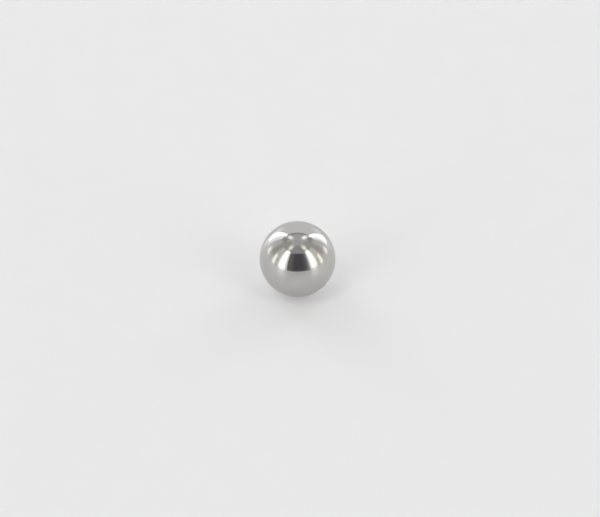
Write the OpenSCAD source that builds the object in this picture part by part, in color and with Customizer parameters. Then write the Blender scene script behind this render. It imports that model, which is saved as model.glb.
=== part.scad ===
// Steel ball: one solid sphere of hardened steel, ground and lapped all over to a mirror finish.
// It has no seam, flat, hole or mark, so every part of its surface can roll, bear or seat.
// The origin is the centre of the ball, with +Z up, so its lowest point is half a diameter below.

/* [Ball] */
// Diameter of the ball, in millimetres
ball_d = 8; // [2:0.5:25]

/* [Hidden] */
// Sides of the preview around the ball; the solid itself is a true sphere
preview_sides = 128;

// The ball: all of its surface lies half of ball_d from the origin
module ball() {
    color("silver")
        sphere(d = ball_d, $fn = preview_sides);
}

ball();
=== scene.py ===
import math

import bmesh
import bpy
from mathutils import Matrix, Vector


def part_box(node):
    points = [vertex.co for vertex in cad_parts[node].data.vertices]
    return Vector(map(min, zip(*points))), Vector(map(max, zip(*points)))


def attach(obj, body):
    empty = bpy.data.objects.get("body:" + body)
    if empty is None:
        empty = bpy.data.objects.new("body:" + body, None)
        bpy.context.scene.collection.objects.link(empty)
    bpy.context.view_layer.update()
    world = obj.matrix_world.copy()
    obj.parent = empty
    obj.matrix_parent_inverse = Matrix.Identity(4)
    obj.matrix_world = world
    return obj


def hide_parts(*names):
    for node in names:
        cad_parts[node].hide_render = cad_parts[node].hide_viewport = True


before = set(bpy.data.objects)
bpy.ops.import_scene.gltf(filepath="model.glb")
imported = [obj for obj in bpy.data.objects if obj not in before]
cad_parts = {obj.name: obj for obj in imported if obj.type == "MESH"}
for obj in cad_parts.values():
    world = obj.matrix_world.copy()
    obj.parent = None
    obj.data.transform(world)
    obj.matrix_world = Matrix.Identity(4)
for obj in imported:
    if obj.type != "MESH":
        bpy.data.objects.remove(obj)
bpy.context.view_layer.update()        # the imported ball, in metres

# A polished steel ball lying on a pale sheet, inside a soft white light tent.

millimetre = 0.001
perMillimetre = 1000.0

ballLow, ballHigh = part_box("ball")
ballCentre = (ballLow + ballHigh) / 2
ballRadius = (ballHigh.z - ballLow.z) / 2


def addNode(tree, kind, **settings):
    node = tree.nodes.new(kind)
    for name, value in settings.items():
        setattr(node, name, value)
    return node


def emptyMaterial(name):
    material = bpy.data.materials.new(name)
    material.use_nodes = True
    material.node_tree.nodes.clear()
    return material


def objectFromBmesh(name, shape, material):
    mesh = bpy.data.meshes.new(name)
    shape.to_mesh(mesh)
    shape.free()
    mesh.materials.append(material)
    item = bpy.data.objects.new(name, mesh)
    bpy.context.scene.collection.objects.link(item)
    return item


def placeInMillimetres(tree, turn=(0, 0, 0)):
    # where a point of the piece lies, in millimetres, on axes turned by so many degrees
    spot = addNode(tree, "ShaderNodeTexCoord")
    scaled = addNode(tree, "ShaderNodeMapping")
    scaled.inputs["Scale"].default_value = (perMillimetre,) * 3
    scaled.inputs["Rotation"].default_value = tuple(math.radians(t) for t in turn)
    tree.links.new(spot.outputs["Object"], scaled.inputs["Vector"])
    return scaled.outputs["Vector"]


def noiseAt(tree, place, pattern):
    # pattern: patches for each millimetre, and how finely they are broken up
    patches, detail = pattern
    noise = addNode(tree, "ShaderNodeTexNoise")
    noise.inputs["Scale"].default_value = patches
    noise.inputs["Detail"].default_value = detail
    tree.links.new(place, noise.inputs["Vector"])
    return noise.outputs["Fac"]


def mapped(tree, value, spread, low=0.0, high=1.0, ease="LINEAR"):
    # goes from low to high as the value goes over the spread
    start, end = spread
    node = addNode(tree, "ShaderNodeMapRange", interpolation_type=ease)
    node.inputs["From Min"].default_value = start
    node.inputs["From Max"].default_value = end
    node.inputs["To Min"].default_value = low
    node.inputs["To Max"].default_value = high
    tree.links.new(value, node.inputs["Value"])
    return node.outputs["Result"]


def coloured(tree, value, tones):
    # tones: each a value from 0 to 1 and the colour there
    ramp = addNode(tree, "ShaderNodeValToRGB")
    marks = ramp.color_ramp.elements
    while len(marks) < len(tones):
        marks.new(0.5)
    for mark, (position, colour) in zip(marks, tones):
        mark.position = position
        mark.color = (*colour, 1.0)
    tree.links.new(value, ramp.inputs["Fac"])
    return ramp.outputs["Color"]


def maths(tree, operation, first, second):
    node = addNode(tree, "ShaderNodeMath", operation=operation)
    for socket, value in zip(node.inputs, (first, second)):
        if isinstance(value, (int, float)):
            socket.default_value = value
        else:
            tree.links.new(value, socket)
    return node.outputs[0]


# the steel: bright and even, with the hairlines and the faint haze that lapping leaves.
# A pattern is patches per millimetre and how finely they are broken up, tones are values of
# the pattern with the colour at each, and a spread is the values over which an effect comes in
steelLook = {
    "cloudPattern": (0.45, 4.0),
    "cloudTones": [(0.35, (0.531, 0.514, 0.495)), (0.65, (0.551, 0.533, 0.514))],
    "rimTint": (0.88, 0.88, 0.88, 1.0),
    "polish": 0.042,             # roughness where the steel is clearest
    "haze": 0.026,               # rougher by this much in the dullest patches
    "hazePattern": (0.8, 5.0),
    "hazeSpread": (0.4, 0.75),
    "ripple": 0.00004,           # millimetres
    "ripplePattern": (3.0, 2.0),
    "hairlineHaze": 0.10,        # rougher by this much along a hairline
    "hairlineDepth": 0.00035,    # millimetres
    "strayPattern": (0.3, 2.0),
    "stray": 0.4,                # millimetres that a hairline strays from a true circle
    "gapPattern": (0.7, 3.0),
    "gapEdge": 0.05,             # of the gap pattern's value, over which a hairline comes in
}

# each family of hairlines runs round its own axis: turn in degrees, lines per millimetre,
# half a line's width in millimetres, and the gap pattern's value up to which lines are left out
hairlines = [
    {"turn": (12, 35, 0), "lines": 2.1, "halfWidth": 0.011, "gaps": 0.56},
    {"turn": (-48, 10, 70), "lines": 1.6, "halfWidth": 0.013, "gaps": 0.58},
    {"turn": (80, -25, 15), "lines": 2.6, "halfWidth": 0.010, "gaps": 0.57},
    {"turn": (33, 74, -40), "lines": 1.9, "halfWidth": 0.012, "gaps": 0.59},
    {"turn": (-70, -52, 30), "lines": 2.3, "halfWidth": 0.010, "gaps": 0.58},
]


def hairlineFamily(tree, look, family):
    # 1 in the middle of a hairline, 0 beside it and in its gaps
    place = placeInMillimetres(tree, family["turn"])
    split = addNode(tree, "ShaderNodeSeparateXYZ")
    tree.links.new(place, split.inputs["Vector"])
    wander = maths(tree, "MULTIPLY", noiseAt(tree, place, look["strayPattern"]), look["stray"])
    height = maths(tree, "ADD", split.outputs["Z"], wander)
    lines = addNode(tree, "ShaderNodeTexVoronoi", voronoi_dimensions="1D", feature="F1")
    lines.inputs["Scale"].default_value = family["lines"]
    tree.links.new(height, lines.inputs["W"])
    half = family["halfWidth"] * family["lines"]
    cut = mapped(tree, lines.outputs["Distance"], (0.0, half), 1.0, 0.0, "SMOOTHSTEP")
    gapSpread = (family["gaps"], family["gaps"] + look["gapEdge"])
    kept = mapped(tree, noiseAt(tree, place, look["gapPattern"]), gapSpread)
    return maths(tree, "MULTIPLY", cut, kept)


def steelRoughness(tree, look, place, scratched):
    pattern = noiseAt(tree, place, look["hazePattern"])
    hazed = mapped(tree, pattern, look["hazeSpread"], 0.0, look["haze"])
    dulled = maths(tree, "MULTIPLY", scratched, look["hairlineHaze"])
    return maths(tree, "ADD", maths(tree, "ADD", hazed, dulled), look["polish"])


def steelRelief(tree, look, place, scratched):
    ripple = maths(tree, "MULTIPLY", noiseAt(tree, place, look["ripplePattern"]), look["ripple"])
    cut = maths(tree, "MULTIPLY", scratched, -look["hairlineDepth"])
    bump = addNode(tree, "ShaderNodeBump")
    bump.inputs["Distance"].default_value = millimetre
    tree.links.new(maths(tree, "ADD", cut, ripple), bump.inputs["Height"])
    return bump.outputs["Normal"]


def polishedSteel(look):
    steel = emptyMaterial("polishedSteel")
    tree = steel.node_tree
    out = addNode(tree, "ShaderNodeOutputMaterial")
    shader = addNode(tree, "ShaderNodeBsdfPrincipled")
    shader.inputs["Metallic"].default_value = 1.0
    shader.inputs["Specular Tint"].default_value = look["rimTint"]
    place = placeInMillimetres(tree)
    scratched = hairlineFamily(tree, look, hairlines[0])
    for family in hairlines[1:]:
        scratched = maths(tree, "MAXIMUM", scratched, hairlineFamily(tree, look, family))
    cloud = coloured(tree, noiseAt(tree, place, look["cloudPattern"]), look["cloudTones"])
    tree.links.new(cloud, shader.inputs["Base Color"])
    tree.links.new(steelRoughness(tree, look, place, scratched), shader.inputs["Roughness"])
    tree.links.new(steelRelief(tree, look, place, scratched), shader.inputs["Normal"])
    tree.links.new(shader.outputs["BSDF"], out.inputs["Surface"])
    return steel


ballSetup = {
    "node": "ball",
    "body": "root",
    "slot": "polished_steel",
    "rows": 120,             # rows of faces along each of the six patches
    "margin": 0.008,         # share of a patch left free at each of its edges on the map
}


def layPatch(face, chart, margin):
    # each side of the cube fills its own third of the map's width and half of its height
    middle = face.calc_center_median()
    axis = max(range(3), key=lambda k: abs(middle[k]))
    side = 1 if middle[axis] > 0 else -1
    row = 1 if side > 0 else 0
    inner = 1 - 2 * margin
    for corner in face.loops:
        point = corner.vert.co
        across = (point[(axis + 1) % 3] * side + 1) / 2
        up = (point[(axis + 2) % 3] + 1) / 2
        corner[chart].uv = ((axis + margin + across * inner) / 3, (row + margin + up * inner) / 2)


def makeBall(setup):
    # a cube cut into even rows and swollen onto the ball, so no face is narrow and no pole shows
    shape = bmesh.new()
    chart = shape.loops.layers.uv.new("OFBake")
    bmesh.ops.create_cube(shape, size=2.0)
    bmesh.ops.subdivide_edges(
        shape, edges=shape.edges, cuts=setup["rows"] - 1, use_grid_fill=True
    )
    for face in shape.faces:
        layPatch(face, chart, setup["margin"])
        face.smooth = True
    for point in shape.verts:
        swollen = Vector(math.tan(c * math.pi / 4) for c in point.co)
        point.co = ballCentre + swollen.normalized() * ballRadius
    bmesh.ops.recalc_face_normals(shape, faces=shape.faces)
    ball = objectFromBmesh("polished_ball", shape, polishedSteel(steelLook))
    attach(ball, setup["body"])
    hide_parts(setup["node"])


makeBall(ballSetup)
print("ball made")

# the sheet: white and slightly glossy, and a little light comes up through it. Its sheen
# shows in the ball's mirror, and hardly at all where the sheet is seen outright
sheetSetup = {
    "reach": 0.5,                # metres from the ball to the sheet's edge
    "sides": 96,
    "mottlePattern": (0.25, 6.0),
    "mottleTones": [(0, (0.765, 0.765, 0.777)), (1, (0.782, 0.782, 0.794))],
    "glow": 0.10,
    "glowColour": (1, 1, 1, 1),
    "mirroredIndex": 1.25,
    "plainIndex": 1.02,
    "dullPattern": (1.2, 3.0),
    "dullSpread": (0.3, 0.7),
    "gloss": (0.31, 0.39),       # roughness, from the glossiest to the dullest patch
}


def paleSheet(look):
    sheet = emptyMaterial("paleSheet")
    tree = sheet.node_tree
    out = addNode(tree, "ShaderNodeOutputMaterial")
    place = placeInMillimetres(tree)
    mottle = coloured(tree, noiseAt(tree, place, look["mottlePattern"]), look["mottleTones"])
    dull = mapped(tree, noiseAt(tree, place, look["dullPattern"]), look["dullSpread"], *look["gloss"])
    path = addNode(tree, "ShaderNodeLightPath")
    mix = addNode(tree, "ShaderNodeMixShader")
    tree.links.new(path.outputs["Is Camera Ray"], mix.inputs["Fac"])
    for socket, index in ((1, look["mirroredIndex"]), (2, look["plainIndex"])):
        surface = addNode(tree, "ShaderNodeBsdfPrincipled")
        surface.inputs["IOR"].default_value = index
        surface.inputs["Emission Color"].default_value = look["glowColour"]
        surface.inputs["Emission Strength"].default_value = look["glow"]
        tree.links.new(mottle, surface.inputs["Base Color"])
        tree.links.new(dull, surface.inputs["Roughness"])
        tree.links.new(surface.outputs["BSDF"], mix.inputs[socket])
    tree.links.new(mix.outputs["Shader"], out.inputs["Surface"])
    return sheet


def makeSheet(setup):
    shape = bmesh.new()
    bmesh.ops.create_circle(
        shape,
        cap_ends=True,
        segments=setup["sides"],
        radius=setup["reach"],
        matrix=Matrix.Translation((0, 0, ballLow.z)),
    )
    sheet = objectFromBmesh("sheet", shape, paleSheet(setup))


makeSheet(sheetSetup)
print("sheet laid")

# the light tent: cards of light and shade that only the ball and the sheet see
tentSetup = {
    "reach": 1.2,                # metres from the ball to the first card
    "gap": 0.006,                # each card hangs this much nearer than the one before it
    "rows": 16,                  # rows of faces across a card, and up it
}


def grey(brightness):
    return (brightness, brightness, brightness)


# one dictionary for each kind of card. turn: degrees round from the front, to the right;
# low, high: degrees above the sheet; width, topWidth: degrees across; soft, softUp: degrees
# over which its sides, and its top and bottom, fade; leans: it faces the ball from above;
# mirrored: whether the ball shows it, as it shows all but one small lamp in the roof
backWall = {"name": "backWall", "turn": 180, "width": 115, "topWidth": 70, "low": -6, "high": 50,
            "soft": 20, "softUp": 8, "colour": grey(0.87)}
sideShade = {"name": "sideShade", "turn": 90, "width": 25, "low": 15, "high": 65,
             "soft": 15, "softUp": 20}
sideGlow = {"name": "sideGlow", "turn": 70, "width": 30, "topWidth": 15, "low": 15, "high": 48,
            "soft": 15, "softUp": 15}
cornerShade = {"name": "cornerShade", "turn": 123, "width": 8, "low": 43, "high": 56,
               "soft": 8, "softUp": 8, "colour": grey(0.42)}
lintel = {"name": "lintel", "turn": 0, "width": 60, "low": 52, "high": 80,
          "soft": 20, "softUp": 8, "colour": (0.42, 0.42, 0.43), "leans": True}
opening = {"name": "opening", "turn": 0, "width": 60, "topWidth": 70, "low": 1, "high": 56,
           "soft": 2, "softUp": 1, "colour": (0.20, 0.20, 0.19)}
openingDepth = {"name": "openingDepth", "turn": 4, "width": 38, "low": 4, "high": 52,
                "soft": 20, "softUp": 8, "colour": (0.11, 0.10, 0.12)}
openingJamb = {"name": "openingJamb", "turn": 33, "width": 6, "topWidth": 3, "low": -3, "high": 49,
               "soft": 6, "softUp": 2, "colour": (0.28, 0.29, 0.35)}
roofLamp = {"name": "roofLamp", "turn": -45, "width": 8, "low": 60, "high": 68,
            "soft": 8, "softUp": 8, "colour": grey(20), "leans": True, "mirrored": False}
lampSpill = {"name": "lampSpill", "turn": 152, "width": 12, "topWidth": 6, "low": -3, "high": 16,
             "soft": 16, "softUp": 16}
backHalo = {"name": "backHalo", "turn": 128, "width": 10, "low": -3, "high": 42,
            "soft": 8, "softUp": 10, "colour": (1.3, 1.35, 1.4)}
backLamp = {"name": "backLamp", "turn": 137, "width": 14, "topWidth": 3, "low": -3, "high": 47,
            "soft": 10, "softUp": 7}
frontLamp = {"name": "frontLamp", "turn": 51, "width": 17, "low": -2, "high": 49,
             "soft": 16, "softUp": 18, "colour": grey(2.9)}
frontRoof = {"name": "frontRoof", "turn": 53, "width": 8, "low": 59, "high": 73,
             "soft": 10, "softUp": 14, "leans": True}
backRoof = {"name": "backRoof", "turn": 140, "width": 8, "low": 56, "high": 69,
            "soft": 8, "softUp": 14, "leans": True}
frontGlint = {"name": "frontGlint", "turn": 78, "width": 10, "topWidth": 5, "low": -3, "high": 24,
              "soft": 9, "softUp": 12}
backGlint = {"name": "backGlint", "turn": 110, "width": 14, "topWidth": 4, "low": -3, "high": 14,
             "soft": 10, "softUp": 14}


def bothSides(card, left, right):
    # the card and its mirror image, each with what is its own
    return [
        {**card, "name": card["name"] + "Left", "turn": -card["turn"], **left},
        {**card, "name": card["name"] + "Right", **right},
    ]


# in the order in which they hang, from the farthest to the nearest
tentCards = [
    backWall,
    *bothSides(sideShade, {"colour": (0.50, 0.50, 0.47)}, {"colour": (0.55, 0.52, 0.50)}),
    *bothSides(sideGlow, {"colour": (0.80, 0.80, 0.75)}, {"colour": (0.85, 0.83, 0.75)}),
    *bothSides(cornerShade, {}, {}),
    lintel,
    opening,
    openingDepth,
    openingJamb,
    roofLamp,
    *bothSides(lampSpill, {"colour": grey(1.25)}, {"colour": grey(1.1)}),
    *bothSides(backHalo, {"turn": -129}, {}),
    *bothSides(backLamp, {"turn": -141, "width": 12, "colour": grey(3.9)}, {"colour": grey(2.7)}),
    *bothSides(frontLamp, {"turn": -48}, {"width": 15, "low": 3, "softUp": 20}),
    *bothSides(frontRoof, {"colour": (1.4, 1.45, 1.25)}, {"colour": (1.45, 1.5, 1.4)}),
    *bothSides(backRoof, {"colour": grey(1.7)}, {"colour": grey(2.0)}),
    *bothSides(frontGlint, {"colour": (1.7, 1.7, 1.6)}, {"colour": (1.7, 1.7, 1.5)}),
    *bothSides(backGlint, {"colour": (1.45, 1.55, 1.45)}, {"colour": (1.5, 1.5, 1.45)}),
]


def edgeFade(tree, across, fade):
    # 0 at both ends of the card, 1 once the edge is this share of the card away
    fromEdge = maths(tree, "PINGPONG", across, 0.5)
    return mapped(tree, fromEdge, (0.0, min(0.5, fade)), ease="SMOOTHSTEP")


def cardGlow(name, colour, fadeAcross, fadeUp):
    # a light of one colour that turns clear towards the card's edges
    material = emptyMaterial(name)
    tree = material.node_tree
    out = addNode(tree, "ShaderNodeOutputMaterial")
    light = addNode(tree, "ShaderNodeEmission")
    light.inputs["Color"].default_value = (*colour, 1.0)
    clear = addNode(tree, "ShaderNodeBsdfTransparent")
    mix = addNode(tree, "ShaderNodeMixShader")
    spot = addNode(tree, "ShaderNodeTexCoord")
    split = addNode(tree, "ShaderNodeSeparateXYZ")
    tree.links.new(spot.outputs["UV"], split.inputs["Vector"])
    sides = edgeFade(tree, split.outputs["X"], fadeAcross)
    ends = edgeFade(tree, split.outputs["Y"], fadeUp)
    tree.links.new(maths(tree, "MULTIPLY", sides, ends), mix.inputs["Fac"])
    tree.links.new(clear.outputs["BSDF"], mix.inputs[1])
    tree.links.new(light.outputs["Emission"], mix.inputs[2])
    tree.links.new(mix.outputs["Shader"], out.inputs["Surface"])
    return material


def cardPlace(setup, reach):
    # how far the card leans, how high its middle hangs, and half of its height; its faded
    # edges reach half a fade past the degrees that its dictionary gives
    low = math.radians(setup["low"] - setup["softUp"] / 2)
    high = math.radians(setup["high"] + setup["softUp"] / 2)
    if setup.get("leans"):
        lean = (low + high) / 2
        middle = 0.0
        halfHeight = reach * math.tan((high - low) / 2)
    else:
        lean = 0.0
        middle = reach * (math.tan(high) + math.tan(low)) / 2
        halfHeight = reach * (math.tan(high) - math.tan(low)) / 2
    return lean, middle, halfHeight


def makeCard(setup, reach):
    soft = setup["soft"]
    width = setup["width"] + soft
    topShare = (setup.get("topWidth", setup["width"]) + soft) / width
    halfWidth = reach * math.tan(math.radians(width / 2))
    lean, middle, halfHeight = cardPlace(setup, reach)
    hang = (
        Matrix.Rotation(math.radians(setup["turn"]), 4, "Z")
        @ Matrix.Rotation(-lean, 4, "X")
        @ Matrix.Translation((0, -reach, middle))
        @ Matrix.Rotation(math.radians(90), 4, "X")
        @ Matrix.Diagonal((halfWidth, halfHeight, 1, 1))
    )
    rows = tentSetup["rows"]
    shape = bmesh.new()
    shape.loops.layers.uv.new("UVMap")
    bmesh.ops.create_grid(shape, x_segments=rows, y_segments=rows, size=1, calc_uvs=True)
    for corner in shape.verts:
        corner.co.x *= 1 + (topShare - 1) * (corner.co.y + 1) / 2
    bmesh.ops.transform(shape, matrix=hang, verts=shape.verts)
    for corner in shape.verts:
        corner.co = corner.co.normalized() * reach    # bent to the round of the tent
    fadeUp = math.radians(setup["softUp"]) * reach / (2 * halfHeight)
    material = cardGlow(setup["name"], setup["colour"], soft / width, fadeUp)
    card = objectFromBmesh(setup["name"], shape, material)
    card.visible_camera = False
    card.visible_glossy = setup.get("mirrored", True)


for number, cardSetup in enumerate(tentCards):
    makeCard(cardSetup, tentSetup["reach"] - tentSetup["gap"] * number)
print("tent cards hung:", len(tentCards))

# the tent's cloth behind the cards. heights: brightness by degrees above the sheet, with
# nearly even walls, a darker seam where they meet the roof, and a roof that dims at its top
clothSetup = {
    "heights": [
        (0, 0.80), (25, 0.76), (45, 0.70), (53, 0.45), (58, 0.45), (64, 0.62), (80, 0.62), (90, 0.56),
    ],
    "tint": (1.0, 1.0, 0.985),
    "seenOutright": (0.81, 0.81, 0.81, 1),    # what the camera sees past the sheet's edge
}


def makeWorld(setup):
    world = bpy.data.worlds.new("tentLight")
    bpy.context.scene.world = world
    world.use_nodes = True
    tree = world.node_tree
    tree.nodes.clear()
    out = addNode(tree, "ShaderNodeOutputWorld")
    seen = addNode(tree, "ShaderNodeBackground")
    seen.inputs["Color"].default_value = setup["seenOutright"]
    cloth = addNode(tree, "ShaderNodeBackground")
    way = addNode(tree, "ShaderNodeTexCoord")
    split = addNode(tree, "ShaderNodeSeparateXYZ")
    tree.links.new(way.outputs["Generated"], split.inputs["Vector"])
    tones = []
    for height, glow in setup["heights"]:
        tones.append((math.sin(math.radians(height)), [glow * t for t in setup["tint"]]))
    tree.links.new(coloured(tree, split.outputs["Z"], tones), cloth.inputs["Color"])
    path = addNode(tree, "ShaderNodeLightPath")
    mix = addNode(tree, "ShaderNodeMixShader")
    tree.links.new(path.outputs["Is Camera Ray"], mix.inputs["Fac"])
    tree.links.new(cloth.outputs["Background"], mix.inputs[1])
    tree.links.new(seen.outputs["Background"], mix.inputs[2])
    tree.links.new(mix.outputs["Shader"], out.inputs["Surface"])


makeWorld(clothSetup)
print("tent cloth lit")

cameraSetup = {
    "lens": 150,
    "sensor": 36,
    "tilt": 40,              # degrees above the sheet
    "viewWidth": 63.08,      # millimetres across the view, at the ball
    "sideStep": 0.261,       # millimetres that the camera stands to the right
    "rise": 0.048,           # millimetres that it looks above the ball's middle
    "near": 0.01,            # metres, as far is
    "far": 5,
}


def makeCamera(setup):
    data = bpy.data.cameras.new("camera")
    data.lens = setup["lens"]
    data.sensor_width = setup["sensor"]
    data.clip_start = setup["near"]
    data.clip_end = setup["far"]
    camera = bpy.data.objects.new("camera", data)
    bpy.context.scene.collection.objects.link(camera)
    tilt = math.radians(setup["tilt"])
    distance = setup["viewWidth"] * millimetre * setup["lens"] / setup["sensor"]
    back = Vector((0, -math.cos(tilt), math.sin(tilt)))
    up = Vector((0, math.sin(tilt), math.cos(tilt)))
    aside = Vector((1, 0, 0)) * setup["sideStep"] + up * setup["rise"]
    camera.location = ballCentre + aside * millimetre + back * distance
    camera.rotation_euler = (-back).to_track_quat("-Z", "Y").to_euler()
    bpy.context.scene.camera = camera


makeCamera(cameraSetup)
bpy.context.scene.view_settings.view_transform = "Standard"
bpy.context.scene.cycles.blur_glossy = 0.0    # the ball throws light onto the sheet as a true mirror
print("camera set")
